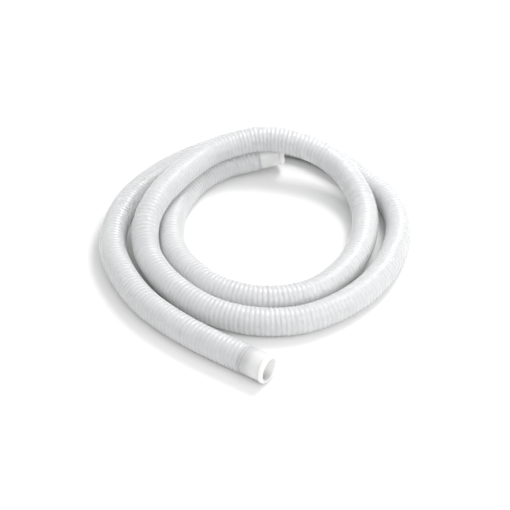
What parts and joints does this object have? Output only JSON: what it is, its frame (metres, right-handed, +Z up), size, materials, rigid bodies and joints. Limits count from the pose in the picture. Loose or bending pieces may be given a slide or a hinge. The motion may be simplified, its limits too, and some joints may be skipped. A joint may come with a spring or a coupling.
{
  "type": "pool vacuum hose",
  "caption": "Translucent white spiral ribbed pool vacuum hose lying in a loose open coil, with a plain fixed cuff at one end and a swivel cuff at the other.",
  "frame": {"origin": "centre of the bounding box at floor level, under the coil", "axes": "+X along the front swivel cuff, out of its mouth; +Z up from the floor the hose lies on; +Y towards the back of the coil, where the strands cross"},
  "size_m": [0.4519, 0.5104, 0.088],
  "materials": {
    "hose": "satin, translucent milky white",
    "cuff": "satin, milky white"
  },
  "bodies": {
    "hose": {"hose_wall": "hose", "swivel_collar": "cuff", "rear_cuff": "cuff"},
    "front_cuff": {"front_swivel_cuff": "cuff"}
  },
  "joints": [
    {"name": "front_cuff_swivel", "type": "hinge", "parent": "hose", "child": "front_cuff", "pos_m": [0.161, -0.235, 0.0206], "axis": [1, 0, 0], "continuous": true}
  ]
}
